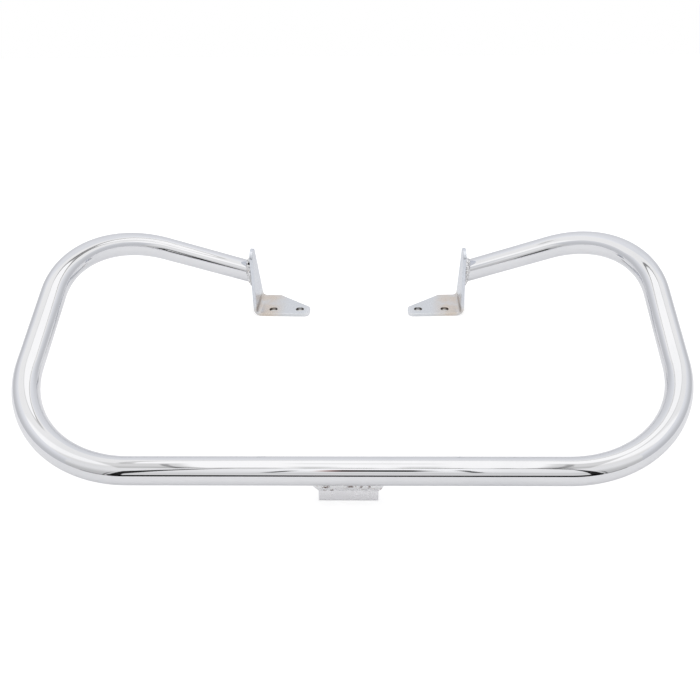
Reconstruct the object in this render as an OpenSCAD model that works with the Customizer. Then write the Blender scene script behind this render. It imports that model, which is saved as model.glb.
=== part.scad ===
// Motorcycle crash bars: one bent steel tube that loops out on both sides of the frame, with a
// folded foot bracket on each end, an angle bracket under the middle, and the weld beads between.
// +X is to the right, +Y to the rear, +Z up. The origin is the middle of the lower bracket's two
// bolt holes, on its underside. The two feet and the lower bracket stand on the plane Z = 0.

/* [Tube] */
// Outside diameter of the tube
tube_d = 32; // [24:0.5:38]
// Wall thickness of the tube
tube_wall = 2.5; // [1.5:0.25:4]
// Radius of every bend, to the middle of the tube
bend_r = 145; // [100:1:165]
// Width over the outsides of the two loops
loop_w = 804; // [740:1:880]
// Height of the front bar's axis above the mounting plane
bar_h = 40; // [34:1:60]
// Rise of the two side runs towards the rear, in degrees
side_rise = 20.6; // [17:0.1:26]
// Straight length of each side run, between its two bends
side_len = 116; // [80:1:160]
// Turn of the rear bend about the side run, in degrees
rear_twist = 30; // [22:0.5:34]
// Angle of the rear bend, in degrees
rear_bend = 83; // [78:0.5:88]
// Straight length of each rear arm, along its axis to the foot bracket
arm_len = 134; // [110:1:160]

/* [Foot brackets] */
// Thickness of the bracket plate
foot_t = 5; // [3:0.5:8]
// Inside radius of the fold
fold_r = 6; // [3:0.5:10]
// Angle by which the bracket toes in towards the rear, in degrees
toe = 2; // [0:0.5:5]
// Depth of the plate at the fold, front to rear
plate_w = 62; // [54:1:80]
// Distance of the plate's front edge ahead of the tube's axis
front_edge = 18; // [17:0.5:24]
// Height of the upright leg above the tube's axis
upright_rise = 40; // [32:1:60]
// Radius of the upright leg's round top
upright_top_r = 13; // [8:0.5:16]
// Length of the foot from the upright's outer face to its tip
foot_len = 85; // [80:1:110]
// Straight part of the foot's rear edge, from the upright's outer face
foot_square = 34; // [20:1:50]
// Width of the foot at its tip
foot_tip_w = 27; // [22:0.5:40]
// Radius of the tip's corners
foot_tip_r = 8; // [3:0.5:10]
// Diameter of the foot's bolt holes
foot_hole_d = 12; // [8:0.5:14]
// Distance from the tube's end to the nearer hole
foot_hole_x = 28; // [24:0.5:34]
// Distance from the farther hole to the foot's tip
foot_hole_tip = 16; // [12:0.5:24]
// Distance of the holes' row behind the plate's front edge
foot_hole_y = 13; // [10:0.5:16]

/* [Lower bracket] */
// Width of the lower bracket
lower_w = 66; // [56:1:90]
// Thickness of the lower bracket's angle
lower_t = 5; // [3:0.5:8]
// Inside radius of the angle's corner
lower_r = 5; // [2:0.5:8]
// Depth of the horizontal leg, front to rear
lower_leg = 38; // [32:1:55]
// Distance of the upright leg's front face ahead of the bar's axis
lower_front = 2.5; // [0:0.5:6]
// Radius of the horizontal leg's rear corners
lower_corner_r = 6; // [2:0.5:10]
// Diameter of the lower bracket's bolt holes
lower_hole_d = 11; // [8:0.5:13]
// Spacing of the lower bracket's two holes
lower_pitch = 40; // [28:1:42]
// Distance of the holes' row from the rear edge
lower_hole_edge = 14; // [10:0.5:16]

/* [Welds] */
// Leg of the beads round the tube's ends, on the tube and, where there is room, on the bracket
weld_leg = 6; // [3:0.5:8]
// Leg of the lower bead down the lower bracket
lower_weld_leg = 10; // [4:0.5:12]
// Leg of the lower bead along the tube
lower_weld_reach = 7; // [3:0.5:8]
// Height of a bead's rounded face above the straight line between its toes
weld_crown = 0.8; // [0.2:0.1:1.5]
// Depth of the ripples along a bead
weld_ripple = 0.6; // [0:0.1:1]
// Length of one ripple
ripple_len = 4; // [2.5:0.5:8]

/* [Hidden] */
$fn = 96;

tube_r = tube_d / 2;
bore_r = tube_r - tube_wall;
side_x = loop_w / 2 - tube_r;
bar_half = side_x - bend_r;

// How far the bends' faces are drawn in from the straights', and how far the straights lap over
hair = 0.02;
seam_lap = 0.2;

// The bar's axis lies ahead of the origin by what the lower bracket's hole row stands behind it
bar_y = -(lower_leg - lower_front - lower_hole_edge);
bar_axis = [0, bar_y, bar_h];

// The path of the tube, worked out as a tube bender does: along the side run, round the rear
// bend and down the arm. The side runs lie in a plane that rises from the front bar, and the
// rear bend leans out of that plane by its twist.
function pitched(p) = [p[0], p[1] * cos(side_rise) - p[2] * sin(side_rise),
                       p[1] * sin(side_rise) + p[2] * cos(side_rise)];
function twisted(p) = [p[0] * cos(rear_twist), p[1], p[0] * sin(rear_twist)];
flat_dir = [-sin(rear_bend), cos(rear_bend), 0];
flat_run = [-bend_r * (1 - cos(rear_bend)), bend_r * sin(rear_bend), 0];
arm_dir = pitched(twisted(flat_dir));
tube_end = bar_axis + pitched([side_x, bend_r + side_len, 0] + twisted(flat_run + arm_len * flat_dir));

// A foot bracket's own frame has its origin at the tube's end and x outwards. The upright leg's
// outer face is the plane x = 0, and the foot runs inwards from it, along -x.
sole_z = -tube_end[2];
fold_out_r = fold_r + foot_t;
fold_z = sole_z + fold_out_r;
front_y = -front_edge;
rear_y = front_y + plate_w;
hole_row_y = front_y + foot_hole_y;
foot_pitch = foot_len - foot_hole_x - foot_hole_tip;

// The tangent point on a circle, seen from a point outside it, on the circle's left-hand side.
// It lies a hair inside the circle, so that an edge drawn to it runs into the circle's arc.
function tangent(from, centre, r) =
    let (d = from - centre, inner_r = r - hair, a = atan2(d[1], d[0]) + acos(inner_r / norm(d)))
    centre + inner_r * [cos(a), sin(a)];

top_centre = [front_y + upright_top_r, upright_rise - upright_top_r];
top_tangent = tangent([rear_y, fold_z], top_centre, upright_top_r);

// Section of the tube's wall. The bends draw its two faces in by a hair. The turn keeps the
// starting points of the circles in line from one length of tube to the next.
module ring(draw, turn) {
    rotate(turn) difference() {
        circle(r = tube_r - draw);
        circle(r = bore_r + draw);
    }
}

// A straight length of tube from the origin along +y, whose ends lap over the bends
module straight(len, turn = 0) {
    translate([0, len + seam_lap, 0]) rotate([90, 0, 0]) linear_extrude(len + 2 * seam_lap) ring(0, turn);
}

// A bend that leaves the origin along +y and turns towards -x
module bend(angle, turn = 0) {
    translate([-bend_r, 0, 0]) rotate_extrude(angle = angle) translate([bend_r, 0]) ring(hair, turn);
}

// Places its children at the far end of such a bend
module after_bend(angle) {
    translate([-bend_r, 0, 0]) rotate([0, 0, angle]) translate([bend_r, 0, 0]) children();
}

// One side of the loop, from the end of the front bar to past the foot bracket
module side_loop() {
    translate([bar_half, 0, 0]) rotate([0, 0, -90]) {
        bend(90);
        after_bend(90) {
            straight(side_len);
            translate([0, side_len, 0]) rotate([0, -rear_twist, 0]) {
                bend(rear_bend, -rear_twist);
                after_bend(rear_bend) straight(arm_len + tube_d, -rear_twist);
            }
        }
    }
}

// Places its children in the right foot bracket's own frame, or mirrored in the left one's
module at_foot(side) {
    mirror([side < 0 ? 1 : 0, 0, 0]) translate(tube_end) rotate([0, 0, toe]) children();
}

// The room on the inner side of the upright leg's outer face, which cuts the tube to length
module past_the_end() {
    translate([-3 * tube_d, -2 * tube_d, -2 * tube_d]) cube([3 * tube_d, 4 * tube_d, 4 * tube_d]);
}

module main_tube() {
    color("gainsboro") difference() {
        translate(bar_axis) rotate([side_rise, 0, 0]) {
            translate([-bar_half, 0, 0]) rotate([0, 0, -90]) straight(2 * bar_half);
            side_loop();
            mirror([1, 0, 0]) side_loop();
        }
        at_foot(1) past_the_end();
        at_foot(-1) past_the_end();
    }
}

// Outline of the upright leg above the fold, as seen from the side
module upright_outline() {
    polygon([[front_y, fold_z], [rear_y, fold_z], top_tangent, top_centre, [front_y, top_centre[1]]]);
    translate(top_centre) circle(r = upright_top_r);
}

// Outline of the foot beyond the fold, as seen from above
module foot_outline() {
    r = foot_tip_r;
    front_corner = [-foot_len + r, front_y + r];
    rear_corner = [-foot_len + r, front_y + foot_tip_w - r];
    knee = [-foot_square, rear_y];
    taper = tangent(knee, rear_corner, r);
    polygon([[-fold_out_r, front_y], [-fold_out_r, rear_y], knee, taper, rear_corner,
             [-foot_len, rear_corner[1]], [-foot_len, front_corner[1]], [front_corner[0], front_y]]);
    translate(front_corner) circle(r = r);
    translate(rear_corner) circle(r = r);
}

module foot_plate() {
    translate([-foot_t, 0, 0]) rotate([90, 0, 90]) linear_extrude(foot_t) upright_outline();
    translate([-fold_out_r, 0, fold_z]) rotate([90, 0, 0]) rotate([0, 0, -90])
        rotate_extrude(angle = 90) translate([fold_r, -rear_y]) square([foot_t, plate_w]);
    translate([0, 0, sole_z]) linear_extrude(foot_t) foot_outline();
}

// The row of holes runs straight across the motorcycle, whatever the bracket's toe
module foot_bracket(side) {
    color("silver") difference() {
        at_foot(side) foot_plate();
        for (i = [0, 1])
            translate([side * (tube_end[0] - foot_hole_x - i * foot_pitch), tube_end[1] + hole_row_y, -1])
                cylinder(d = foot_hole_d, h = foot_t + 2);
    }
}

module left_foot_bracket() { foot_bracket(-1); }
module right_foot_bracket() { foot_bracket(1); }

lower_front_y = bar_y - lower_front;
lower_rear_y = lower_front_y + lower_leg;

// Section of the angle, with its inner corner rounded
module angle_section() {
    root = [lower_front_y + lower_t, lower_t];
    translate([lower_front_y, 0]) square([lower_t, bar_h]);
    translate([lower_front_y, 0]) square([lower_leg, lower_t]);
    difference() {
        translate(root) square(lower_r);
        translate(root + [lower_r, lower_r]) circle(r = lower_r);
    }
}

// Outline of the angle from above, which rounds the horizontal leg's rear corners
module lower_outline() {
    r = lower_corner_r;
    translate([-lower_w / 2, lower_front_y]) square([lower_w, lower_leg - r]);
    translate([-lower_w / 2 + r, lower_front_y]) square([lower_w - 2 * r, lower_leg]);
    for (x = [-1, 1]) translate([x * (lower_w / 2 - r), lower_rear_y - r]) circle(r = r);
}

// The upright leg's top edge is coped to the tube
module lower_bracket() {
    color("silver") difference() {
        intersection() {
            translate([-lower_w / 2, 0, 0]) rotate([90, 0, 90]) linear_extrude(lower_w) angle_section();
            linear_extrude(bar_h) lower_outline();
        }
        translate([-lower_w, bar_y, bar_h]) rotate([0, 90, 0]) cylinder(r = tube_r, h = 2 * lower_w);
        for (x = [-1, 1]) translate([x * lower_pitch / 2, 0, -1]) cylinder(d = lower_hole_d, h = lower_t + 2);
    }
}

// A weld bead is a closed ring of cross-sections. Each section is given by its root, where the
// two pieces meet, and by its toes on the plate and on the tube. Its face is a crown between
// the toes, square to the line that joins them, and the crown swells and sinks along the bead.
// Its back may follow a curved surface from the tube's toe to the root.
crown_steps = 5;
rings_per_ripple = 4;
function crown(i) = weld_crown + weld_ripple / 2 * (cos(360 * i / rings_per_ripple) - 1);
function section(root, plate_toe, tube_toe, i, back = []) =
    let (span = tube_toe - plate_toe, middle = plate_toe + tube_toe - 2 * root,
         out = middle - (middle * span) / (span * span) * span, lift = crown(i) / norm(out) * out)
    concat([root], [for (k = [0 : crown_steps])
        let (t = k / crown_steps) plate_toe * (1 - t) + tube_toe * t + sin(180 * t) * lift], back);

module bead(sections) {
    n = len(sections);
    m = len(sections[0]);
    corner = function(i, j) (i % n) * m + j % m;
    polyhedron([for (s = sections) each s],
               [for (i = [0 : n - 1], j = [0 : m - 1], half = [0, 1])
                   half == 0 ? [corner(i, j), corner(i + 1, j), corner(i + 1, j + 1)]
                             : [corner(i, j), corner(i + 1, j + 1), corner(i, j + 1)]]);
}

// The joint between the tube and the upright leg is an oval, because the arm meets it aslant.
// Both are in the foot bracket's frame, whose toe the arm's direction is turned back by.
arm = [arm_dir[0] * cos(toe) + arm_dir[1] * sin(toe),
       arm_dir[1] * cos(toe) - arm_dir[0] * sin(toe), arm_dir[2]];
across = cross([0, 0, 1], arm) / norm(cross([0, 0, 1], arm));
above = cross(arm, across);
end_rings = rings_per_ripple * round(2 * PI * tube_r / ripple_len);
function on_tube(a) = tube_r / cos(180 / end_rings) * (cos(a) * across + sin(a) * above);
function joint(a) = on_tube(a) - on_tube(a)[0] / arm[0] * arm;

// How far a point of the upright leg's face is from its straight edges, along a direction
least_room = 0.5;
slant = [0, top_tangent[1] - fold_z, rear_y - top_tangent[0]];
function room(p, dir) = max(least_room, min(
    dir[1] < 0 ? (front_y - p[1]) / dir[1] : weld_leg,
    dir * slant > 0 ? (slant * ([0, rear_y, fold_z] - p)) / (slant * dir) : weld_leg));

module end_weld(side) {
    color("darkgray") at_foot(side) bead([for (i = [0 : end_rings - 1])
        let (a = 360 * i / end_rings, root = joint(a), dir = root / norm(root))
        section(root, root + min(weld_leg, room(root, dir)) * dir, root - weld_leg * arm, i)]);
}

module left_end_weld() { end_weld(-1); }
module right_end_weld() { end_weld(1); }

// The lower bead runs round the top edge of the upright leg, just clear of its corners. Its legs
// stop short of the angle's rounded inner corner and of the tube's widest places.
weld_gap = 0.02;
back_steps = 4;
lower_drop = min(lower_weld_leg, bar_h - tube_r - lower_t - lower_r);
lower_reach = min(lower_weld_reach, 0.8 * tube_r - max(lower_front, lower_t - lower_front));
side_rings = rings_per_ripple * round(lower_w / ripple_len);
function corner_ring(x, y, a0) = [for (a = [0 : 30 : 90]) [x, y, a0 + a]];
function edge_ring(x0, x1, y, a) = [for (i = [1 : side_rings - 1]) [x0 + (x1 - x0) * i / side_rings, y, a]];
lower_path = concat(
    corner_ring(lower_w / 2, bar_y - lower_front, -90),
    [[lower_w / 2, bar_y - lower_front + lower_t / 2, 0]],
    corner_ring(lower_w / 2, bar_y - lower_front + lower_t, 0),
    edge_ring(lower_w / 2, -lower_w / 2, bar_y - lower_front + lower_t, 90),
    corner_ring(-lower_w / 2, bar_y - lower_front + lower_t, 90),
    [[-lower_w / 2, bar_y - lower_front + lower_t / 2, 180]],
    corner_ring(-lower_w / 2, bar_y - lower_front, 180),
    edge_ring(-lower_w / 2, lower_w / 2, bar_y - lower_front, -90));

// A point under the tube's surface, straight below its underside at that y
function under_tube(x, y) = [x, y, bar_h - sqrt((tube_r + weld_gap) ^ 2 - (y - bar_y) ^ 2)];

module lower_weld() {
    color("darkgray") bead([for (i = [0 : len(lower_path) - 1])
        let (p = lower_path[i], dir = [cos(p[2]), sin(p[2])], at = [p[0], p[1]] + weld_gap * dir,
             on_back = [for (k = [back_steps : -1 : 0]) let (q = at + k / back_steps * lower_reach * dir)
                            under_tube(q[0], q[1])],
             root = on_back[back_steps], back = [for (k = [1 : back_steps - 1]) on_back[k]])
        section(root, root - [0, 0, lower_drop], on_back[0], i, back)]);
}

main_tube();
left_foot_bracket();
right_foot_bracket();
lower_bracket();
left_end_weld();
right_end_weld();
lower_weld();
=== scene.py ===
# %% [markdown]
# # Motorcycle crash bars
# One steel tube bends twice on each side and ends in two folded foot brackets. An angle bracket
# hangs under its middle, and weld beads join the pieces. Everything is chrome plated.
# The solids come packed as a frame. This lesson dresses them: it makes finer surfaces for the
# tube, the brackets and the beads, plates them, and sets them on a table in a pale studio.

import bpy
import numpy as np
from mathutils import Matrix, Vector
from mathutils.geometry import delaunay_2d_cdt


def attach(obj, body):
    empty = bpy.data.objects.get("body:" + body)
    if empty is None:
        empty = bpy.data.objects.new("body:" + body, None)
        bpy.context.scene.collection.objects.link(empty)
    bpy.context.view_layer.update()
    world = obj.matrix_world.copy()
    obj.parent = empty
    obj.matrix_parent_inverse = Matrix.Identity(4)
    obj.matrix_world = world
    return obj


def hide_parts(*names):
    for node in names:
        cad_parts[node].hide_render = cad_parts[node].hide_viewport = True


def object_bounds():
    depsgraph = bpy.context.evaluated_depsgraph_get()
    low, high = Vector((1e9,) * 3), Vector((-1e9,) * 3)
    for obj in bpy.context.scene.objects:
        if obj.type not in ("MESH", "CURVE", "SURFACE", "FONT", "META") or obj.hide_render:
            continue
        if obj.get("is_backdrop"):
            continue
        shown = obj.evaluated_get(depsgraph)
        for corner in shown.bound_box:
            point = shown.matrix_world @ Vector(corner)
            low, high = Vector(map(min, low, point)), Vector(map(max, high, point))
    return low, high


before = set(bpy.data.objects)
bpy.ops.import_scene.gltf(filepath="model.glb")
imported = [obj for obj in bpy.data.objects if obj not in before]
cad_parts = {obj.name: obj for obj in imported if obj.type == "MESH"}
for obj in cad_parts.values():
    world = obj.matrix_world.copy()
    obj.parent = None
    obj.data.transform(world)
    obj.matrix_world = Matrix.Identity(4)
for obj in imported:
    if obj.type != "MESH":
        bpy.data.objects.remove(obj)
cad_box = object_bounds()
scene = bpy.context.scene
print("solids:", sorted(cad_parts))

# %% [markdown]
# ## Sizes
# The sizes are the workshop's own, in millimetres, and they are the ones the solids were built
# from, except that the welds have finer ripples here and the plates have rounded edges. Blender
# works in metres, so each surface is worked out in millimetres first and scaled once, when it is
# put into its mesh. X is to the right, Y to the rear and Z up.

# %% Sizes in millimetres, angles in degrees
MM = 0.001

tube_r = 16
bore_r = 13.5
bend_r = 145
loop_w = 804
bar_h = 40
side_rise = 20.6
side_len = 116
rear_twist = 30
rear_bend = 83
arm_len = 134

foot_t = 5
fold_r = 6
toe = 2
plate_w = 62
front_edge = 18
upright_rise = 40
upright_top_r = 13
foot_len = 85
foot_square = 34
foot_tip_w = 27
foot_tip_r = 8
foot_hole_r = 6
foot_holes = (28, 69)
foot_hole_y = 13
foot_edge_r = 0.8

lower_w = 66
lower_t = 5
lower_r = 5
lower_leg = 38
lower_front = 2.5
lower_corner_r = 6
lower_hole_r = 5.5
lower_pitch = 40
lower_hole_edge = 14
lower_edge_r = 0.5

weld_leg = 6
lower_weld_leg = 10
lower_weld_reach = 7
weld_crown = 0.8
weld_ripple = 0.6
ripple_len = 3.2

bar_axis = np.array([0, -(lower_leg - lower_front - lower_hole_edge), bar_h])
bar_half = loop_w / 2 - tube_r - bend_r
print("the front bar is straight for", 2 * bar_half, "mm, and its axis is at", bar_axis)

# %% [markdown]
# ## The camera
# It stands in front of the bars, above them and a little to their right, and looks down on
# them by about thirty degrees. The picture was cropped a little off its middle, which a
# small lens shift repeats. Three directions give the camera's turn: what is right, what is down
# and what is ahead in the picture.

# %% Camera
camera_at = (0.0407, -0.745, 0.6313)
camera_yaw, camera_pitch, camera_roll = -0.0196, 0.5344, -0.0110
sensor_w, focal_length = 36, 43.71

turn = (
    Matrix.Rotation(camera_roll, 3, "Y")
    @ Matrix.Rotation(camera_pitch, 3, "X")
    @ Matrix.Rotation(camera_yaw, 3, "Z")
)
right, ahead, up = turn.row[0], turn.row[1], turn.row[2]
camera_data = bpy.data.cameras.new("camera")
camera_data.sensor_width = sensor_w
camera_data.lens = focal_length
camera_data.shift_x = -0.0298
camera_data.shift_y = -0.0115
camera_data.clip_start = 0.01
camera = bpy.data.objects.new("camera", camera_data)
facing = Matrix([right, up, -ahead]).transposed().to_4x4()
camera.matrix_world = Matrix.Translation(camera_at) @ facing
scene.collection.objects.link(camera)
scene.camera = camera
print("camera looks along", [round(v, 3) for v in ahead])

# %% [markdown]
# ## Grids and meshes
# Every surface here is a grid of points: rows one way, columns the other. A grid may close on
# itself in either direction, as a ring does. The helper lists its four-cornered faces as one
# array, and a second helper puts points and faces into a mesh, with all faces turned outwards.
# Flat plates also have three-cornered faces, and those are handed over as a second array.

# %% Grid faces and solid pieces
def grid_faces(rows, columns, close_rows=False, close_columns=False):
    """Faces of a grid whose point (i, j) has number i * columns + j: each joins the points
    (i, j), (i + 1, j), (i + 1, j + 1) and (i, j + 1)."""
    i = np.arange(rows if close_rows else rows - 1)[:, None]
    j = np.arange(columns if close_columns else columns - 1)[None, :]
    i1, j1 = (i + 1) % rows, (j + 1) % columns
    corners = [i * columns + j, i1 * columns + j, i1 * columns + j1, i * columns + j1]
    return np.stack(corners, axis=-1).reshape(-1, 4)


def solid_piece(name, points, quads, threes=np.empty((0, 3), int), normals=None):
    """A closed mesh from points in millimetres. Its volume is the sum over its triangles of
    a . (b x c) / 6. Where that is negative, all faces wind the wrong way and are reversed.
    Exact normals, if given, replace the averaged ones."""
    triangles = np.vstack([quads[:, [0, 1, 2]], quads[:, [0, 2, 3]], threes])
    a, b, c = (points[triangles[:, corner]] for corner in range(3))
    volume = (a * np.cross(b, c)).sum() / 6
    if volume < 0:
        quads, threes = quads[:, ::-1], threes[:, ::-1]
    mesh = bpy.data.meshes.new(name)
    mesh.from_pydata((points * MM).tolist(), [], quads.tolist() + threes.tolist())
    mesh.polygons.foreach_set("use_smooth", np.ones(len(mesh.polygons), bool))
    mesh.update()
    if normals is not None:
        mesh.normals_split_custom_set_from_vertices(normals.tolist())
    piece = bpy.data.objects.new(name, mesh)
    scene.collection.objects.link(piece)
    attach(piece, "root")
    print(name, "has", len(mesh.polygons), "faces and holds", round(abs(volume) / 1000, 1), "cm3")
    return piece


def unit(v):
    """Vectors divided by their own lengths."""
    return v / np.linalg.norm(v, axis=-1, keepdims=True)


def mirrored(points):
    """The same points on the other side of the motorcycle: x becomes -x."""
    return points * [-1, 1, 1]


# %% [markdown]
# ## The bent tube
# The real tube is one piece of 32 mm steel, bent cold round a former. Four tangent bends of the
# same radius make the two loops, and the rear ones lean inwards by a twist of the tube in the
# bender. Blender could bevel a curve instead, but its rings would not stay square to the path.
# So the path is worked out as the bender works: straights, bends and a twist, each of which
# starts where the last one ended. Then a ring of points goes round every point of the path.

# %% Path of the right half of the tube
def walk(legs):
    """Points of the path, its directions, its outward directions and the rings' phase.

    A straight moves the point along its direction. A bend by an angle a turns both directions
    about a centre that lies bend_r inwards: outward' = outward cos a + along sin a, and
    along' = along cos a - outward sin a. A twist turns outward about the path, and the phase
    turns back by as much, so that the rings' points stay in line. Last, the whole path is
    tipped up about the bar's axis by side_rise."""
    point, along, outward = np.zeros(3), np.array([1.0, 0, 0]), np.array([0, -1.0, 0])
    phase, rows = 0.0, []
    for kind, amount, steps in legs:
        share = np.linspace(0, 1, steps + 1)[:, None]
        if kind == "straight":
            points = point + along * amount * share
            alongs, outwards = along + 0 * points, outward + 0 * points
        elif kind == "bend":
            a = np.radians(amount) * share
            alongs = along * np.cos(a) - outward * np.sin(a)
            outwards = outward * np.cos(a) + along * np.sin(a)
            points = point - bend_r * outward + bend_r * outwards
        else:
            a = np.radians(amount)
            outward = outward * np.cos(a) + np.cross(outward, along) * np.sin(a)
            phase -= a
            continue
        rows.append(np.hstack([points, alongs, outwards, phase + 0 * share])[1 if rows else 0 :])
        point, along, outward = points[-1], alongs[-1], outwards[-1]
    rows = np.vstack(rows)
    lift = np.array(Matrix.Rotation(np.radians(side_rise), 3, "X"))
    return rows[:, :3] @ lift.T + bar_axis, rows[:, 3:6] @ lift.T, rows[:, 6:9] @ lift.T, rows[:, 9]


# Each leg has its kind, its length in millimetres or its angle in degrees, and its steps
path, along, outward, phase = walk([
    ("straight", bar_half, 24),
    ("bend", 90, 60),
    ("straight", side_len, 12),
    ("twist", rear_twist, 0),
    ("bend", rear_bend, 56),
    ("straight", arm_len, 14),
])
tube_end = path[-1]
arm_dir = along[-1]
print("right arm ends at", tube_end.round(2), "running along", arm_dir.round(3))

# %% [markdown]
# The left half is the right half's mirror image, walked backwards. Both ends are cut on the
# slant where they meet the foot brackets, so the points of the last ring slide along the arm
# onto the bracket's face. The bore is a second set of rings that walks back, and the whole
# makes one closed grid: its columns go round the tube, its rows down the outside and back up
# the inside.

# %% Tube surface
ring_steps = 96
foot_x = np.array([np.cos(np.radians(toe)), np.sin(np.radians(toe)), 0])


def tube_rings(radius):
    """Rings round the path: point + radius (outward cos t + upward sin t), with t from the
    phase round to the full circle. Also the same directions, which are the normals."""
    t = phase[:, None] + np.linspace(0, 2 * np.pi, ring_steps, endpoint=False)
    upward = np.cross(outward, along)
    around = outward[:, None] * np.cos(t)[..., None] + upward[:, None] * np.sin(t)[..., None]
    rings = path[:, None] + radius * around
    rings[-1] -= ((rings[-1] - tube_end) @ foot_x / (arm_dir @ foot_x))[:, None] * arm_dir
    both = [np.concatenate([mirrored(half[:0:-1]), half]) for half in (rings, around)]
    return both[0], both[1]


outer, outer_normals = tube_rings(tube_r)
inner, inner_normals = tube_rings(bore_r)
tube_points = np.concatenate([outer, inner[::-1]])
tube_normals = np.concatenate([outer_normals, -inner_normals[::-1]])
tube_piece = solid_piece(
    "bent_tube",
    tube_points.reshape(-1, 3),
    grid_faces(len(tube_points), ring_steps, close_rows=True, close_columns=True),
    normals=tube_normals.reshape(-1, 3),
)
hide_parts("main_tube")

# %% [markdown]
# ## Folded plates
# A foot bracket is cut flat from 5 mm plate, drilled, and folded in a press. This lesson makes it
# the same way. The flat pattern lives in three numbers: s along the plate, y across it and h
# through its thickness. Two questions come up on the way: which places lie inside an outline,
# and which way leads out of the material at its corners.

# %% Inside and outside of an outline
def inside(points, loop):
    """Whether points lie inside a loop: a ray to one side crosses it an odd number of times."""
    a, b = loop[None], np.roll(loop, -1, axis=0)[None]
    p = points[:, None]
    spans = (a[..., 1] > p[..., 1]) != (b[..., 1] > p[..., 1])
    rise = np.where(spans, b[..., 1] - a[..., 1], 1)
    crossing = a[..., 0] + (p[..., 1] - a[..., 1]) / rise * (b[..., 0] - a[..., 0])
    return (spans & (p[..., 0] < crossing)).sum(1) % 2 == 1


def outline_normals(loop):
    """Directions out of the material at a loop's corners, lengthened by 1 / cos of half the
    corner's turn, so that moving along them shifts the two edges by equal distances."""
    edge = unit(np.roll(loop, -1, axis=0) - loop)
    edge_out = np.stack([edge[:, 1], -edge[:, 0]], axis=1)
    out = unit(edge_out + np.roll(edge_out, 1, axis=0))
    return out, out / (out * edge_out).sum(1, keepdims=True)


# %% [markdown]
# The plate's edges are rounded by carrying a small section round each outline. Its two faces are
# filled with triangles, which delaunay_2d_cdt lays between the outlines and the fold's own cross
# lines. A Bevel modifier could round the edges too, but it would need a solid to start from.

# %% Flat pattern with rounded edges
quarter_steps = 4
closeness = 0.02


def flat_pattern(outline, holes, thickness, rounding, cross_lines=()):
    """Points (s, y, h), their normals and the faces of a flat plate. The outline runs
    anticlockwise and the holes clockwise, so the material is always on the left. The section
    of an edge is a quarter circle, a straight and a quarter circle, carried round each loop."""
    b = np.linspace(0, np.pi / 2, quarter_steps)
    inset = rounding * np.r_[1 - np.sin(b), 1 - np.cos(b)]
    height = np.r_[rounding * (1 - np.cos(b)), thickness - rounding * (1 - np.sin(b))]
    out_part, up_part = np.r_[np.sin(b), np.cos(b)], np.r_[-np.cos(b), np.sin(b)]
    points, normals, quads, lids, start = [], [], [], [[], []], 0
    for loop in [outline, *holes]:
        out, stretched = outline_normals(loop)
        flat = loop - inset[:, None, None] * stretched
        level = np.broadcast_to(height[:, None], flat.shape[:2])
        points.append(np.dstack([flat, level]).reshape(-1, 3))
        lean = [out_part[:, None, None] * out, np.broadcast_to(up_part[:, None], flat.shape[:2])]
        normals.append(np.dstack(lean).reshape(-1, 3))
        quads.append(grid_faces(len(inset), len(loop), close_columns=True) + start)
        lids[0].append(np.arange(len(loop)) + start)
        lids[1].append(np.arange(len(loop)) + start + (len(inset) - 1) * len(loop))
        start += len(inset) * len(loop)
    points, normals = np.vstack(points), np.vstack(normals)
    rim = np.concatenate(lids[0])
    sizes = np.cumsum([0] + [len(lid) for lid in lids[0]])
    edges = []
    for a, b in zip(sizes, sizes[1:]):
        number = np.arange(a, b)
        edges += np.column_stack([number, np.roll(number, -1)]).tolist()
    flat = points[rim, :2]
    for s in cross_lines:
        near = np.where(np.abs(flat[: sizes[1], 0] - s) < closeness)[0]
        edges.append((int(near[flat[near, 1].argmin()]), int(near[flat[near, 1].argmax()])))
    _, _, fill, origin, _, _ = delaunay_2d_cdt([Vector(p) for p in flat], edges, [], 0, 1e-6)
    fill = np.array([numbers[0] for numbers in origin])[np.array(fill)]
    middle = flat[fill].mean(1)
    keep = inside(middle, flat[: sizes[1]])
    for a, b in zip(sizes[1:], sizes[2:]):
        keep &= ~inside(middle, flat[a:b])
    top = np.concatenate(lids[1])
    return points, normals, np.vstack(quads), np.vstack([rim[fill[keep]], top[fill[keep]][:, ::-1]])


# %% [markdown]
# One formula then folds every point, and the same formula's slopes turn the flat normals into
# folded ones. Arcs and holes are the only curves that the outlines need.

# %% Folding, arcs and holes
def folded(flat_points, flat_normals, fold):
    """Folds a flat pattern. The fold's slopes along s, y and h are the columns of a matrix J,
    and a flat normal n becomes the solution m of J' m = n, made unit length."""
    step = 1e-3
    slopes = [
        (fold(flat_points + step * axis) - fold(flat_points - step * axis)) / (2 * step)
        for axis in np.eye(3)
    ]
    normals = np.linalg.solve(np.stack(slopes, axis=1), flat_normals[..., None])[..., 0]
    return fold(flat_points), unit(normals)


def arc(centre, r, start, end, steps=12):
    """Points of an arc: centre + r (cos a, sin a), with a from start to end in degrees."""
    a = np.radians(np.linspace(start, end, steps + 1))[:, None]
    return np.array(centre) + r * np.hstack([np.cos(a), np.sin(a)])


def hole(centre, r, steps=40):
    """A full circle that runs clockwise, as holes do."""
    return arc(centre, r, 360, 0, steps)[:-1]


# %% [markdown]
# ## The foot brackets
# Seen flat, the plate is a round-topped tongue, a square waist and a foot that narrows to a
# blunt tip with two bolt holes. The tongue stands upright and is welded to the tube, and the
# foot runs inwards to the motorcycle's frame. The bolt holes' row stays square to the
# motorcycle although the plate toes in by two degrees, so the holes are turned back by that.

# %% Measures of a foot bracket
fold_out_r = fold_r + foot_t
sole_z = -tube_end[2]
fold_z = sole_z + fold_out_r
fold_mid = (fold_r + fold_out_r) / 2
fold_len = fold_mid * np.pi / 2
front_y, rear_y = -front_edge, plate_w - front_edge
print("the sole lies", round(-sole_z, 1), "mm under the arm's end")


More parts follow.
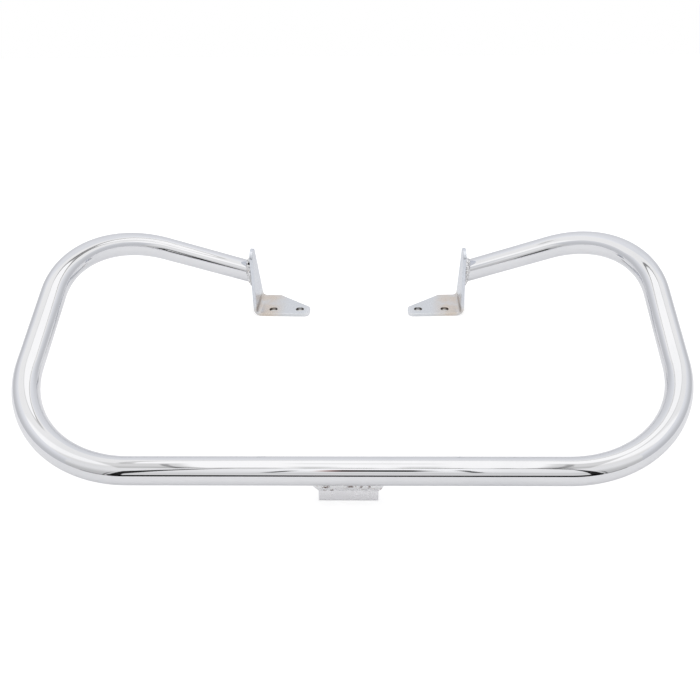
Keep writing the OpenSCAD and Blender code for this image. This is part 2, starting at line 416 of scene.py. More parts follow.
def tangent_angle(start, centre, r, side):
    """Angle on a circle of the point where a line from start just touches it."""
    d = np.array(start) - centre
    return np.degrees(np.arctan2(d[1], d[0]) + side * np.arccos(r / np.linalg.norm(d)))


def along_foot(x):
    """Flat distance s of a place on the foot that lies x inwards of the upright's outer face."""
    return fold_len + x - fold_out_r


# %% Flat outline and holes
fold_steps = np.linspace(0, fold_len, 9)
top_centre = np.array([-(upright_rise - upright_top_r - fold_z), front_y + upright_top_r])
top_touch = tangent_angle([0, rear_y], top_centre, upright_top_r, 1)
tip_rear = np.array([along_foot(foot_len) - foot_tip_r, front_y + foot_tip_w - foot_tip_r])
tip_front = np.array([tip_rear[0], front_y + foot_tip_r])
knee = np.array([along_foot(foot_square), rear_y])
tip_touch = tangent_angle(knee, tip_rear, foot_tip_r, -1)
foot_outline = np.vstack([
    np.column_stack([fold_steps, np.full_like(fold_steps, front_y)]),
    arc(tip_front, foot_tip_r, -90, 0),
    arc(tip_rear, foot_tip_r, 0, tip_touch),
    [knee],
    np.column_stack([fold_steps[::-1], np.full_like(fold_steps, rear_y)]),
    arc(top_centre, upright_top_r, top_touch, 270, 24),
])
foot_hole_loops = []
across_foot = np.array([-foot_x[1], foot_x[0], 0])
for hole_x in foot_holes:
    place = np.array([-hole_x, front_y + foot_hole_y, 0])
    foot_hole_loops.append(hole([along_foot(-place @ foot_x), place @ across_foot], foot_hole_r))
print("flat foot bracket is", np.ptp(foot_outline, axis=0).round(1), "mm")

# %% [markdown]
# The fold's formula has three stretches. Above the fold, h runs inwards from the upright's
# outer face. Round the fold, the point lies on a circle of the outer radius less h. Beyond it,
# h runs upwards from the sole.

# %% Fold and place the foot brackets
def fold_foot(flat):
    """From (s, y, h): x = -R + (R - h) cos a - beyond and z = z0 - (R - h) sin a + above, where
    a is the turn round the fold, and above and beyond are the lengths outside it."""
    s, y, h = flat.T
    a = np.clip(s, 0, fold_len) / fold_mid
    x = -fold_out_r + (fold_out_r - h) * np.cos(a) - np.maximum(s - fold_len, 0)
    z = fold_z - (fold_out_r - h) * np.sin(a) - np.minimum(s, 0)
    return np.column_stack([x, y, z])


toe_turn = np.array(Matrix.Rotation(np.radians(toe), 3, "Z"))
flat_points, flat_normals, *foot_faces = flat_pattern(
    foot_outline, foot_hole_loops, foot_t, foot_edge_r, fold_steps
)
foot_points, foot_normals = folded(flat_points, flat_normals, fold_foot)
foot_points, foot_normals = foot_points @ toe_turn.T + tube_end, foot_normals @ toe_turn.T
right_foot = solid_piece("right_foot_plate", foot_points, *foot_faces, foot_normals)
left_foot = solid_piece("left_foot_plate", mirrored(foot_points), *foot_faces, mirrored(foot_normals))
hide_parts("right_foot_bracket")
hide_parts("left_foot_bracket")

# %% [markdown]
# ## The lower bracket
# The piece under the bar's middle is a length of rolled angle: sharp outside, filleted inside.
# It takes the same flat pattern, but its corner is no fold. Each point is found between the
# angle's outer line and its inner line, at the share h / thickness of the way.

# %% Section of the angle
lower_y = bar_axis[1] - lower_front
lower_top = bar_h - tube_r
outer_r = 1.0
corner_len = lower_t + lower_r
corner_steps = np.linspace(0, corner_len, 13)
print("the angle's legs are", lower_top, "mm high and", lower_leg, "mm long")


def round_corner(s, radius, reach):
    """A line that comes down to a corner and leaves it to the rear: a quarter circle of the
    given radius, with straights that make up the reach on both sides of it."""
    straight, quarter = reach - radius, radius * np.pi / 2
    run = s / corner_len * (2 * straight + quarter)
    bent = np.clip((run - straight) / radius, 0, np.pi / 2)
    before = np.clip(run, 0, straight)
    after = np.clip(run - straight - quarter, 0, straight)
    return radius * (1 - np.cos(bent)) + after, reach - before - radius * np.sin(bent)


def form_angle(flat):
    """From (s, y, h): between the outer line, whose corner is nearly sharp, and the inner line,
    whose corner is the fillet. The legs' straights are added above and behind the corner."""
    s, x, h = flat.T
    at = np.clip(s, 0, corner_len)
    y0, z0 = round_corner(at, outer_r, corner_len)
    y1, z1 = round_corner(at, lower_r, lower_r)
    share = h / lower_t
    y = y0 * (1 - share) + (y1 + lower_t) * share + np.maximum(s - corner_len, 0)
    z = z0 * (1 - share) + (z1 + lower_t) * share - np.minimum(s, 0)
    return np.column_stack([x, y + lower_y, z])


# %% Lower bracket
half, corner = lower_w / 2, lower_corner_r
upper_s = corner_len - lower_top
lower_outline = np.vstack([
    np.column_stack([corner_steps, np.full_like(corner_steps, -half)]),
    arc([lower_leg - corner, -half + corner], corner, -90, 0),
    arc([lower_leg - corner, half - corner], corner, 0, 90),
    np.column_stack([corner_steps[::-1], np.full_like(corner_steps, half)]),
    [[upper_s, half], [upper_s, -half]],
])
lower_holes = [
    hole([lower_leg - lower_hole_edge, side * lower_pitch / 2], lower_hole_r) for side in (-1, 1)
]
flat_points, flat_normals, *lower_faces = flat_pattern(
    lower_outline, lower_holes, lower_t, lower_edge_r, corner_steps
)
lower_points, lower_normals = folded(flat_points, flat_normals, form_angle)
lower_piece = solid_piece("lower_angle", lower_points, *lower_faces, lower_normals)
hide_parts("lower_bracket")

# %% [markdown]
# ## The weld beads
# A weld is laid down drop by drop, so its face is a row of curved ripples between two wavering
# toes, and no two drops are alike. A bump texture would leave the outline smooth, so the beads
# are real surfaces. A section stands at every station of the joint: its root in the corner,
# one toe on each piece, and a rounded face between them that swells and sinks.

# %% Waves and sections of a bead
toe_waver, face_waver = 0.14, 0.35
ripple_bow = 3.5
face_steps = 13


def waver(run, phase, seed, length):
    """A smooth irregular wave: the sum of six sines whose lengths and phases differ, divided by
    3.5, which brings it to about 1. The run is in millimetres, and every wave fits a whole
    number of times into the bead's length."""
    chance = np.random.default_rng(seed)
    total = 0 * run + 0 * phase
    for _ in range(6):
        turns = 2 * np.pi * np.round(length / chance.uniform(3, 14)) / length
        total = total + np.sin(turns * run + chance.uniform(-4, 4) * phase + chance.uniform(0, 6.3))
    return total / 3.5


def dot(a, b):
    """Products of rows of vectors: the sum over the axes of a b."""
    return (a * b).sum(-1, keepdims=True)


def bead_points(root, plate_way, tube_way, run, seed, on_tube=lambda points: points):
    """Sections of a bead. The two ways lead from the root to the toes, and both waver. The
    face goes from toe to toe by the share t. It is raised, square to the line between the
    toes, by sin(pi t) to the power 0.8 times the crown, a slow wave and ripples that lag
    behind at the toes, which bows them. The back returns from the tube's toe to the root on
    the tube's surface."""
    length = run[-1] + np.linalg.norm(root[0] - root[-1])
    t = np.linspace(0, 1, face_steps)[None, :, None]
    wide = 1 + toe_waver * waver(run[:, None], 0, seed, length)
    plate_toe = root + plate_way * np.minimum(wide, 1)
    tube_toe = on_tube(root + tube_way * wide[::-1])
    face = plate_toe[:, None] * (1 - t) + tube_toe[:, None] * t
    span, middle = tube_toe - plate_toe, plate_toe + tube_toe - 2 * root
    out = unit(middle - dot(middle, span) / dot(span, span) * span)[:, None]
    along_run = run[:, None, None]
    turns = 2 * np.pi * np.round(length / ripple_len) / length
    ripple = np.cos(turns * along_run - ripple_bow * (2 * t - 1) ** 2)
    lift = weld_crown + weld_ripple * ripple / 2
    lift = lift + face_waver * waver(along_run, 6 * t, seed + 1, length)
    face = face + out * lift * np.sin(np.pi * t) ** 0.8
    back = [on_tube(root + (tube_toe - root) * share)[:, None] for share in (0.75, 0.5, 0.25)]
    return np.concatenate([root[:, None], face, *back], axis=1)


def bead_piece(name, sections, node):
    """A bead from its sections, which close on themselves and follow each other in a ring."""
    rows, columns = sections.shape[:2]
    faces = grid_faces(rows, columns, close_rows=True, close_columns=True)
    piece = solid_piece(name, sections.reshape(-1, 3), faces)
    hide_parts(node)
    return piece


# %% [markdown]
# The arm meets the upright plate on the slant, so that joint is an oval: each point of a circle
# round the tube slides along the arm onto the plate. The plate's edge limits how far the bead
# may reach out on it.

# %% Roots and reach of the arms' beads
def lengths_along(points):
    """Distance run along a closed row of points, up to each of them."""
    steps = np.linalg.norm(np.diff(points, axis=0), axis=1)
    return np.concatenate([[0], np.cumsum(steps)])


stations = 480
arm = arm_dir @ toe_turn
across_arm = unit(np.cross([0, 0, 1], arm))
above_arm = np.cross(arm, across_arm)
a = np.linspace(0, 2 * np.pi, stations, endpoint=False)[:, None]
root = tube_r * (np.cos(a) * across_arm + np.sin(a) * above_arm)
root = root - root[:, :1] / arm[0] * arm
spread = unit(root)
touch = arc(top_centre, upright_top_r, top_touch, top_touch, 1)[0]
slant = np.array([0, -touch[0], rear_y - touch[1]])
to_edge = [0, rear_y, fold_z] - root
least_reach = 0.5

# How far each way may go before it crosses the front edge or the slanted rear edge. A way that
# leads off from an edge is divided by almost nothing, so that edge sets no limit to it
to_front = (root[:, 1:2] - front_y) / np.maximum(-spread[:, 1:2], 1e-3)
to_slant = to_edge @ slant[:, None] / np.maximum(spread @ slant[:, None], 1e-3)
reach = np.clip(np.minimum(to_front, to_slant), least_reach, weld_leg)
print("the beads reach", reach.min().round(1), "to", reach.max().round(1), "mm out on the plates")

# %% Beads between the arms and the foot brackets
# The toe on the arm lies a quarter further out on top than at the sides
on_top = 1 + 0.25 * np.sin(a)
beads = []
for side, seed in (("right", 3), ("left", 11)):
    sections = bead_points(root, reach * spread, -weld_leg * on_top * arm, lengths_along(root), seed)
    sections = sections @ toe_turn.T + tube_end
    if side == "left":
        sections = mirrored(sections)
    beads.append(bead_piece(side + "_arm_bead", sections, side + "_end_weld"))

# %% [markdown]
# The lower bead runs round the top edge of the angle's upright leg: two long sides, two short
# ends and four tight corners. Its upper toe lies on the underside of the tube, whose height
# follows from its circle.

# %% Joint between the bar and the lower bracket
bead_gap = 0.02


def rounded_loop(half_x, half_y, r, steps):
    """Points and outward directions of a rectangle with tightly rounded corners. Each corner
    is a quarter circle, and a straight with the given number of steps leads on from it."""
    corners = np.array([(half_x, -half_y), (half_x, half_y), (-half_x, half_y), (-half_x, -half_y)])
    places, directions = [], []
    for k in range(4):
        out = arc([0, 0], 1, 90 * k - 90, 90 * k, 8)
        share = np.linspace(0, 1, steps[k] + 1)[1:-1, None]
        edge = corners[k] * (1 - share) + corners[(k + 1) % 4] * share
        places += [corners[k] + r * out, edge + r * out[-1]]
        directions += [out, np.repeat(out[-1:], len(edge), axis=0)]
    return np.vstack(places), np.vstack(directions)


def under_tube(points):
    """Points a hair's breadth under the tube: its axis height less the root of r^2 - y^2."""
    y = points[:, 1] - bar_axis[1]
    return np.column_stack([points[:, :2], bar_h - np.sqrt((tube_r + bead_gap) ** 2 - y**2)])


# %% Bead between the bar and the lower bracket
places, directions = rounded_loop(lower_w / 2, lower_t / 2, bead_gap, (6, 200, 6, 200))
root = under_tube(places + [0, lower_y + lower_t / 2])
flat_way = np.column_stack([lower_weld_reach * directions, np.zeros(len(directions))])
sections = bead_points(
    root, np.array([0, 0, -lower_weld_leg]), flat_way, lengths_along(root), 5, under_tube
)
beads.append(bead_piece("lower_bead", sections, "lower_weld"))

# %% [markdown]
# ## Writing materials as sums
# A material is a graph of nodes. Wiring it by hand is slow to read, so one small class wraps an
# output and lets Python's own signs add the Math nodes. Every other node comes from its one
# method, which sets the node up first and then feeds its inputs.

# %% A wire through a graph of nodes
class Wire:
    """An output in a graph of nodes, or, with no output, the graph itself."""

    def __init__(self, tree, out=None):
        self.tree, self.out = tree, out

    def node(self, kind, settings=None, out=0, **values):
        """Adds a node of a kind, sets it up and fills its inputs. The answer is the wire from
        one of its outputs, given by number or name, or from all of them if out is None."""
        made = self.tree.nodes.new("ShaderNode" + kind)
        for name, value in (settings or {}).items():
            setattr(made, name, value)
        self.fill(made, **values)
        if out is None:
            return [Wire(self.tree, each) for each in made.outputs]
        return Wire(self.tree, made.outputs[out])

    def fill(self, made, **values):
        """Feeds a node's inputs: Base_Color=v feeds the input Base Color, _6=v feeds number 6.
        A wire is linked, and a number, a vector or a colour is set."""
        for name, value in values.items():
            numbered = name[0] == "_" and name[1:].isdigit()
            socket = made.inputs[int(name[1:]) if numbered else name.replace("_", " ")]
            if isinstance(value, Wire):
                self.tree.links.new(value.out, socket)
            else:
                socket.default_value = (*value, 1) if socket.type == "RGBA" else value

    def maths(self, operation, first, second=0.0):
        """One Math node with its two inputs."""
        return self.node("Math", {"operation": operation}, _0=first, _1=second)

    def __add__(self, other):
        return self.maths("ADD", self, other)

    def __mul__(self, other):
        return self.maths("MULTIPLY", self, other)

    def __sub__(self, other):
        return self.maths("SUBTRACT", self, other)

    def __rsub__(self, other):
        return self.maths("SUBTRACT", other, self)

    def __truediv__(self, other):
        return self.maths("DIVIDE", self, other)

    __radd__, __rmul__ = __add__, __mul__

    def rise(self, low, high):
        """0 below low, 1 above high, and a smooth rise between them: 3 t^2 - 2 t^3, where t is
        the share of the way."""
        return self.node(
            "MapRange", {"interpolation_type": "SMOOTHSTEP"},
            Value=self, From_Min=low, From_Max=high, To_Min=0.0, To_Max=1.0,
        )

    def between(self, low, high, soft):
        """1 from low to high, with soft edges."""
        return self.rise(low - soft, low + soft) * (1 - self.rise(high - soft, high + soft))

    def blend(self, first, second):
        """Goes from one colour to another as this wire goes from 0 to 1."""
        return self.node("Mix", {"data_type": "RGBA"}, out=2, _0=self, _6=first, _7=second)

    def coordinates(self, kind="Object"):
        """The three coordinates of a place, in metres, or of a direction, each as a wire."""
        return self.node("SeparateXYZ", out=None, Vector=self.node("TexCoord", out=kind))

    def stretched(self, *scale):
        """Object coordinates, each multiplied by a number of its own."""
        return self.node("Mapping", Vector=self.node("TexCoord", out="Object"), Scale=scale)

    def noise(self, scale, detail=2.0, rough=0.5, where=None):
        """Cloudy values from 0 to 1, with as many clouds to the metre as the scale says."""
        where = where or self.node("TexCoord", out="Object")
        return self.node("TexNoise", Vector=where, Scale=scale, Detail=detail, Roughness=rough)


# %% [markdown]
# Two more helpers start a material and put it on its pieces. A third one measures places against
# an ellipse, because the pits of the welds are ellipses.

# %% Starting, placing and shaping a finish
def new_material(name):
    """An empty Principled material and the graph to write it with."""
    material = bpy.data.materials.new(name)
    material.use_nodes = True
    shader = material.node_tree.nodes["Principled BSDF"]
    return material, shader, Wire(material.node_tree)


def wear(material, *pieces):
    """Puts a material on its pieces."""
    for piece in pieces:
        piece.data.materials.append(material)
    print(material.name, "has", len(material.node_tree.nodes), "nodes, on", len(pieces), "pieces")


def off_centre(places, centre, halves):
    """Sum over the axes of ((place - centre) / half size) squared: 0 at the centre of an ellipse
    and 1 on its edge. The centre and the half sizes are in millimetres."""
    total = 0
    for place, middle, half_size in zip(places, centre, halves):
        share = (place - middle * MM) / (half_size * MM)
        total = total + share * share
    return total


# %% [markdown]
# ## Chrome on the tube
# Bright chrome is a mirror with a faint blue cast. What makes it look real is how little is
# wrong with it: a bent and buffed tube is never perfectly round, so mirrored lines waver a
# little, and handling leaves a haze that blurs them here and there. The slow wave goes into the
# bump, the haze into the roughness and, faintly, the colour.

# %% Tube chrome
clean_chrome, hazy_chrome = (0.78, 0.783, 0.803), (0.745, 0.75, 0.772)
wave_height = 0.2 * MM
chrome, shader, graph = new_material("tube_chrome_finish")
haze = graph.noise(scale=9.0, detail=4.0, rough=0.6).rise(0.42, 0.72)
grain = graph.noise(scale=900.0, detail=1.0).rise(0.35, 0.65)
wave = graph.noise(scale=24.0, detail=1.0, rough=0.4)
graph.fill(
    shader,
    Metallic=1.0,
    Base_Color=haze.blend(clean_chrome, hazy_chrome),
    Roughness=0.02 + haze * 0.035 + grain * 0.01,
    Normal=graph.node("Bump", Strength=0.35, Distance=wave_height, Height=wave),
)
wear(chrome, tube_piece)

# %% [markdown]
# ## Plating on the brackets
# Flat plate is buffed less than the tube, so its chrome is softer: it mirrors only broad tones,
# with the grain of the belt that ground it. Near the fold, where the plating runs thin, it turns
# a warm beige. The crease of the fold and the drilled holes are darkened with painted shade. The
# masks for all this are sums on Object coordinates, so that both feet share one material.

# %% Masks near the fold
plating, shader, graph = new_material("bracket_chrome_finish")
x, rear, height = graph.coordinates()
side = graph.maths("ABSOLUTE", x)
cloud = graph.noise(scale=38.0, detail=3.0, rough=0.55)

on_feet = rear.rise(0.1, 0.3)
near_fold = side.rise(108 * MM, 138 * MM) * (1 - height.rise(6 * MM, 16 * MM)) * on_feet
warm = near_fold * cloud.rise(0.25, 0.6) * 0.9

# Painted shade darkens the inside of the fold, in the crease that these numbers mark
crease_in, crease_out = 154.5 * MM, 157.5 * MM
crease_low, crease_high = 5.8 * MM, 16 * MM
crease_shade = side.between(crease_in, crease_out, 1.5 * MM)
crease_shade = crease_shade * height.between(crease_low, crease_high, 3 * MM)
print("the masks near the fold took", len(plating.node_tree.nodes), "nodes")

# %% [markdown]
# The wall of a drilled hole gets painted shade: darkest at the two ends of the oval that the camera
# sees, and lighter in the middle. The rounded edge at the top of the hole is left bright.

# %% Painted shade in the bolt holes
def from_bolt_holes(graph, side, rear):
    """For each of the foot's holes, how far a place lies to its side, and its distance from the
    hole's axis: the root of across squared + deep squared."""
    for hole_x in foot_holes:
        across = side - (tube_end[0] - hole_x) * MM
        deep = rear - (tube_end[1] + front_y + foot_hole_y) * MM
        yield across, graph.maths("SQRT", across * across + deep * deep)


# Painted shade on the walls of the bolt holes, also made rougher below
bore_shade = 0
for across, away in from_bolt_holes(graph, side, rear):
    ends = graph.maths("ABSOLUTE", across).rise(0.8 * MM, 4.5 * MM)
    in_hole = 1 - away.rise((foot_hole_r + 0.2) * MM, (foot_hole_r + 0.6) * MM)
    bore_shade = bore_shade + in_hole * (0.45 + ends * 0.5)
bore_shade = bore_shade * (1 - height.rise((foot_t - 0.6) * MM, (foot_t - 0.1) * MM))
print("bolt holes lie", [round(float(tube_end[0]) - hole_x, 1) for hole_x in foot_holes], "mm out")

# %% Bracket chrome
# Feet, uprights and the lower angle are painted in tones of their own, set to the light each face
# mirrors. The lower angle is painted brighter, which makes up for the shaded table that its face
# reflects
foot_colour, upright_colour = (0.735, 0.752, 0.778), (0.69, 0.715, 0.765)
lower_painted_bright = (0.94, 0.935, 0.955)
# The second and third colours are painted shade: in the crease of the fold, and a dark brown on the
# walls of the bolt holes
thin_plating, painted_crease_shade, bore_shade_brown = (0.72, 0.635, 0.555), (0.24, 0.21, 0.19), (0.05, 0.035, 0.025)
scratch_depth = 0.08 * MM

belt = graph.noise(scale=420.0, detail=2.0, rough=0.6, where=graph.stretched(1.0, 9.0, 1.0))
pits = graph.noise(scale=1500.0, detail=2.0, rough=0.6)
painted_face_tones = height.rise(12 * MM, 30 * MM).blend(foot_colour, upright_colour)
painted_face_tones = side.rise(0.06, 0.09).blend(lower_painted_bright, painted_face_tones)
plate = warm.blend(painted_face_tones, thin_plating)
# Painted shade in the crease of the fold
plate_with_crease_shade = (crease_shade * 0.6).blend(plate, painted_crease_shade)
graph.fill(
    shader,
    Metallic=1.0,
    Base_Color=bore_shade.blend(plate_with_crease_shade, bore_shade_brown),
    Roughness=0.16 + cloud * 0.12 + belt * 0.08 + bore_shade * 0.3,
    Normal=graph.node("Bump", Strength=0.25, Distance=scratch_depth, Height=belt * 0.5 + pits * 0.5),
)
wear(plating, right_foot, left_foot, lower_piece)

# %% [markdown]
# ## Plating on the welds
# Chrome follows every bump of the bead under it. A fine crackle breaks the face into bright and
# dark specks, and small brown spots lie where the noise is highest. Painted shade has places of
# its own: dark brown spots along the front toes of the lower bead, where it meets the tube and
# the plate. A near-black spot is painted on top of the left bead.

# %% Specks, painted shade and a dark spot in the welds
weld, shader, graph = new_material("weld_chrome_finish")
x, y, z = graph.coordinates()
speck = graph.noise(scale=750.0, detail=3.0, rough=0.65)
patch = graph.noise(scale=210.0, detail=2.0, rough=0.5)

# Each spot of painted shade has its middle, across and up, and its half length and half height
toe_shade_spots = [
    ((-24, 24.6), (5.2, 2.2)), ((-26, 16.6), (2.4, 2.0)), ((-18, 16.6), (2.4, 1.9)),
    ((2.5, 25.2), (4.8, 2.2)), ((14.3, 24.8), (2.0, 2.0)), ((23.4, 24.8), (1.8, 2.0)),
]
toe_shade = 0
for centre, halves in toe_shade_spots:
    toe_shade = toe_shade + (1 - (off_centre((x, z), centre, halves) + patch * 0.8).rise(0.7, 1.5))
on_front = 1 - y.rise(-23 * MM, -21 * MM)
toe_shade = toe_shade * (0.35 + 0.65 * speck.rise(0.35, 0.6)) * on_front
# A near-black spot painted on top of the left bead
dark_spot = 1 - off_centre((x, y, z), (-161.5, 405.5, 86.2), (3.6, 3.0, 2.4)).rise(0.6, 1.2)
# The count below is of the spots of painted shade
print("the lower bead has", len(toe_shade_spots), "large pits")

# %% Weld chrome
dull_speck, bright_speck = (0.33, 0.33, 0.34), (0.97, 0.97, 0.98)
# The second colour is painted shade for the toes of the lower bead, and the third is the near-black
# of the spot on the left bead
rust, toe_shade_brown, dark_spot_black = (0.30, 0.19, 0.11), (0.10, 0.05, 0.03), (0.004, 0.004, 0.004)
crackle_depth = 0.3 * MM

spot = patch.rise(0.6, 0.68) * speck.rise(0.45, 0.6)
on_lower_bead = 1 - graph.maths("ABSOLUTE", x).rise(50 * MM, 80 * MM)
# On the lower bead every speck is painted bright, which lifts a face that mirrors the grey lower tent
crackle = (speck.rise(0.36, 0.62) + on_lower_bead).blend(dull_speck, bright_speck)
# Brown spots, then painted shade at the toes, over the crackle
spotted_and_shaded = toe_shade.blend(spot.blend(crackle, rust), toe_shade_brown)
relief = (speck + patch) * (1 - on_lower_bead * 0.5)
graph.fill(
    shader,
    Metallic=1.0,
    Base_Color=dark_spot.blend(spotted_and_shaded, dark_spot_black),
    Roughness=0.1 + speck * 0.16 + spot * 0.4 + toe_shade * 0.3,
    Normal=graph.node("Bump", Strength=0.75, Distance=crackle_depth, Height=relief),
)
wear(weld, *beads)

# %% [markdown]
# ## The table
# The bars lie on a white table top inside a light tent. To the camera the table is lifted to
# plain white, and only the bottoms of the bolt holes stay dim. Seen in the chrome, it grows
# darker to the rear. A Light Path node tells the two kinds of look apart.

# %% Sheets of the studio
def studio_sheet(name, corners, **sees):
    """A flat sheet between four corners. Kinds of rays, given by name, may be kept from it."""
    mesh = bpy.data.meshes.new(name)
    mesh.from_pydata(corners, [], [(0, 1, 2, 3)])
    sheet = bpy.data.objects.new(name, mesh)
    scene.collection.objects.link(sheet)
    sheet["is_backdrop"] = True
    for kind, seen in sees.items():
        setattr(sheet, "visible_" + kind, seen)
    print(name, "measures", np.ptp(corners, axis=0).round(2), "m")
    return sheet


# %% Table
table_side, table_front, table_rear, table_z = 1.9, -0.42, 2.2, -0.0002
table = studio_sheet("table", [
    (-table_side, table_front, table_z), (table_side, table_front, table_z),
    (table_side, table_rear, table_z), (-table_side, table_rear, table_z),
])
paper, shader, graph = new_material("table_paper")
to_camera = graph.node("LightPath", out="Is Camera Ray")
to_mirror = graph.node("LightPath", out="Is Glossy Ray")
x, rear, _ = graph.coordinates()
side = graph.maths("ABSOLUTE", x)
in_mirror = to_mirror * (0.16 - rear.rise(0.1, 0.9) * 0.15)
shade = 0
for _, away in from_bolt_holes(graph, side, rear):
    shade = shade + 1 - away.rise((foot_hole_r - 0.2) * MM, (foot_hole_r + 0.6) * MM)
graph.fill(
    shader,
    Base_Color=to_mirror.blend((0.55, 0.55, 0.55), (0.74, 0.74, 0.745)),
    Roughness=0.9,
    Specular_IOR_Level=0.0,
    Emission_Color=(1, 1, 1),
    Emission_Strength=to_camera * (0.63 - shade * 0.37) + in_mirror,
)
wear(paper, table)

# %% [markdown]
# ## The light tent
# Chrome has no colour of its own: it shows the room. In front hangs a white curtain, lifted off
# the table and open by a slit at both sides, and the bar mirrors these gaps as dark lines. A dark
# panel and two dark bars stand before it. The curtain is a real plane, so that what it shows
# moves along the chrome as it should, but the camera doesn't see it. It glows and reflects
# nothing, and its brightness is a sum on its own coordinates, in metres.

# %% Curtain cloth
def glowing_material(name):
    """A material that gives light and reflects none."""
    material, shader, graph = new_material(name)
    graph.fill(shader, Base_Color=(0, 0, 0), Specular_IOR_Level=0.0)
    return material, shader, graph


curtain_left, curtain_right, curtain_y = -1.4, 1.5, -0.8
curtain_bottom, curtain_top = -0.3, 1.34
curtain_middle, cloth_half = 0.043, 0.57
curtain = studio_sheet("curtain", [
    (curtain_left, curtain_y, curtain_bottom), (curtain_right, curtain_y, curtain_bottom),
    (curtain_right, curtain_y, curtain_top), (curtain_left, curtain_y, curtain_top),
], camera=False, shadow=False)
cloth, shader, graph = glowing_material("curtain_cloth")
x, _, z = graph.coordinates()
off = graph.maths("ABSOLUTE", x - curtain_middle)
leaning = off + z * 0.1
inner = 1 - leaning.rise(cloth_half, cloth_half + 0.03)
folds = graph.noise(scale=1.0, where=graph.stretched(7.0, 1.0, 0.6))
lit = (1 - off.rise(0.16, 0.36)) * z.rise(0.4, 0.75)
middle_tone = 0.79 + 0.15 * z.rise(0.25, 0.8) + 0.14 * lit + 0.10 * folds * z.rise(0.1, 0.6)
outer_tone = 0.62 + 0.32 * z.rise(0.15, 0.75)
tone = inner * middle_tone + (1 - inner) * outer_tone

# %% [markdown]
# Now the dark lines. The slits lean inwards as they rise and grow narrower. A second, thinner one
# stands outside each and fades upwards. The gap under the cloth is a little higher at the sides,
# where the cloth sags less, and it goes on lower down outside the slits. Two hems cross the cloth.

# %% Slits, gap and hems
slit = leaning.rise(0.55, 0.557) * (1 - (off + z * 0.19).rise(0.682, 0.694))
second_slit = (off + z * 0.2).between(0.735, 0.757, 0.004) * (1 - z.rise(0.2, 0.6))
sag = off.rise(0.1, 0.5) * 0.025
gap = (1 - (z - sag).rise(0.096, 0.108)) * (1 - off.rise(0.69, 0.7))
outer_gap = (1 - z.rise(-0.02, 0.03)) * off.between(0.7, 1.1, 0.01) * 0.8
hems = (z.between(0.30, 0.35, 0.02) * 0.16 + z.between(1.2, 1.25, 0.01) * 0.14) * inner
print("the cloth has taken", len(cloth.node_tree.nodes), "nodes so far")

# %% Dark panel and bars, and the curtain's light
panel = 1 - graph.maths("ABSOLUTE", x - 0.02).rise(0.07, 0.15)
panel = panel * (1 - graph.maths("ABSOLUTE", z - 0.69).rise(0.12, 0.17))
bars = (x - 0.13 * z).between(-0.272, -0.242, 0.004) * z.between(0.42, 0.7, 0.04)
bars = bars + (x + 0.05 * z).between(0.24, 0.268, 0.004) * z.between(0.42, 0.8, 0.04)
red = panel * (1 - x.rise(-0.05, 0.02))
light = tone * (1 - slit * 0.97) * (1 - second_slit * 0.8) * (1 - (gap + outer_gap) * 0.97)
light = light * (1 - panel * 0.98) * (1 - bars * 0.9) * (1 - hems)
graph.fill(
    shader,
    Emission_Color=red.blend((1.0, 1.0, 1.0), (1.0, 0.55, 0.5)),
    Emission_Strength=light,
)
wear(cloth, curtain)

# %% [markdown]
# The roof is a white sheet under the lamps. Its front hem, a rod across its middle, two posts and
# the rounded rim of the sheet at the rear are dark, and in the chrome each of these is a hair
# line in or beside the bright stripe along the tube. The rim is a curve whose distances across
# and deep obey across cubed + deep cubed = 1. Towards the front, the sheet is a little dimmer
# between the lamps.

# %% Roof and its rim
roof_side, roof_front, roof_rear, roof_z = 1.3, -0.6, 0.8, 1.0
rim_x, rim_y, rim_half_width, rim_half_depth = 0.05, 0.2, 0.575, 0.475
roof = studio_sheet("roof", [
    (-roof_side, roof_front, roof_z), (-roof_side, roof_rear, roof_z),
    (roof_side, roof_rear, roof_z), (roof_side, roof_front, roof_z),
], camera=False, shadow=False)
sheet, shader, graph = glowing_material("roof_sheet")
x, y, _ = graph.coordinates()
off = graph.maths("ABSOLUTE", x)
across = graph.maths("ABSOLUTE", x - rim_x) / rim_half_width
deep = graph.maths("ABSOLUTE", y - rim_y) / rim_half_depth
disc = graph.maths("POWER", across * across * across + deep * deep * deep, 1 / 3)
rim = disc.between(0.98, 1.04, 0.01) * (0.35 * y.rise(0.0, 0.1) + 0.4 * y.rise(0.5, 0.62))

# %% Hem, posts and rod, and the roof's light
uneven = graph.noise(scale=9.0, detail=1.0, where=graph.stretched(1.0, 0.0, 0.0))
hem = y.between(-0.63, -0.53, 0.006) * (0.4 + 0.6 * uneven.rise(0.4, 0.55))
hem = hem * (1 - off.rise(0.46, 0.52)) * 0.9
posts = off.between(0.43, 0.45, 0.004) * (1 - y.rise(-0.1, 0.1)) * uneven.rise(0.3, 0.5) * 0.5
rod = y.between(0.04, 0.1, 0.01) * (1 - off.rise(0.12, 0.2)) * 0.35

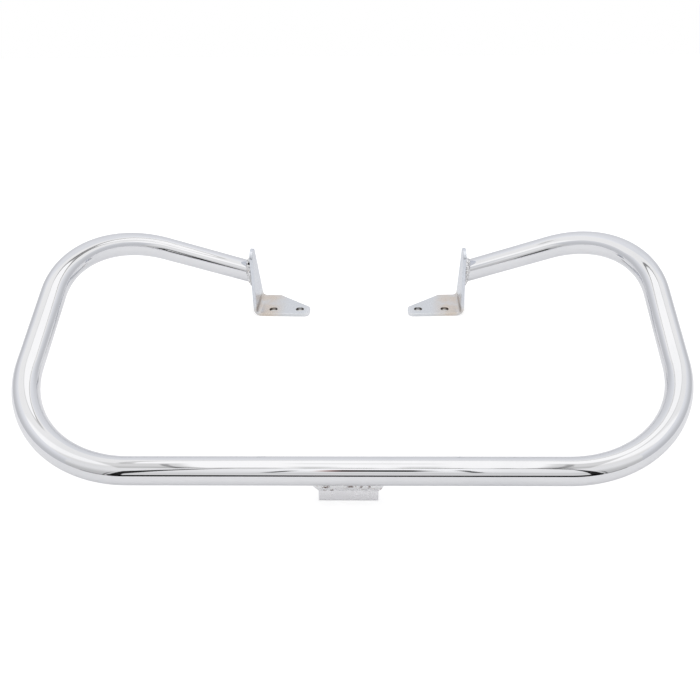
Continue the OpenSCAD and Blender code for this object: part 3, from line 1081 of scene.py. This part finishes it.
in_rear = y.rise(0.05, 0.15)
between_sheets = off.between(0.4, 0.62, 0.02) * (1 - in_rear) * 0.3
lamps = off.between(0.17, 0.4, 0.03) + (1 - off.rise(0.05, 0.1))
unlit = (1 - lamps) * (1 - y.rise(-0.45, -0.2)) * 0.22
white = (1.2 - 0.17 * disc.rise(1.0, 1.02) * in_rear) * (1 - between_sheets) * (1 - unlit)
graph.fill(
    shader,
    Emission_Color=(1.0, 0.995, 0.985),
    Emission_Strength=white * (1 - (rim + hem + posts + rod)),
)
wear(sheet, roof)

# %% [markdown]
# ## The rest of the tent
# The walls are far enough to be painted by direction, in the world. They are grey at the table
# and grow white as they rise to the lamps. The rear starts a little lighter than the sides and
# ends a little darker. The camera itself sees plain white all round.

# %% World
world = bpy.data.worlds.new("studio")
scene.world = world
world.use_nodes = True
world.node_tree.nodes.clear()
graph = Wire(world.node_tree)
x, y, z = graph.coordinates("Generated")
degrees = 180 / np.pi
height = graph.maths("ARCSINE", z) * degrees
around = graph.maths("ABSOLUTE", graph.maths("ARCTAN2", x, 0 - y) * degrees)
in_rear = around.rise(125, 160)
side_tone = 0.66 + 0.32 * height.rise(6, 44) + 0.10 * height.rise(40, 58)
rear_tone = 0.76 + 0.05 * height.rise(6, 20) + 0.11 * height.rise(18, 50)
tone = side_tone * (1 - in_rear) + rear_tone * in_rear
to_camera = graph.node("LightPath", out="Is Camera Ray")
tint = to_camera.blend((0.975, 0.987, 1.02), (1.0, 1.0, 1.0))
background = graph.node("Background", Color=tint, Strength=tone * (1 - to_camera) + to_camera)
graph.node("OutputWorld", out=None, Surface=background)
print("the world has", len(world.node_tree.nodes), "nodes")

# %% Lamp
lamp_data = bpy.data.lights.new("overhead", "AREA")
lamp_data.shape = "RECTANGLE"
lamp_data.size, lamp_data.size_y = 1.5, 0.9
lamp_data.energy = 5.0
lamp = bpy.data.objects.new("overhead", lamp_data)
lamp.location = (0, 0.15, 1.5)
scene.collection.objects.link(lamp)
print("the lamp gives", lamp_data.energy, "W from", lamp.location.z, "m up")

# %% Finish
scene.view_settings.view_transform = "Standard"
boxes = {"cad": cad_box, "visual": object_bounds()}
{name: [list(corner) for corner in box] for name, box in boxes.items()}
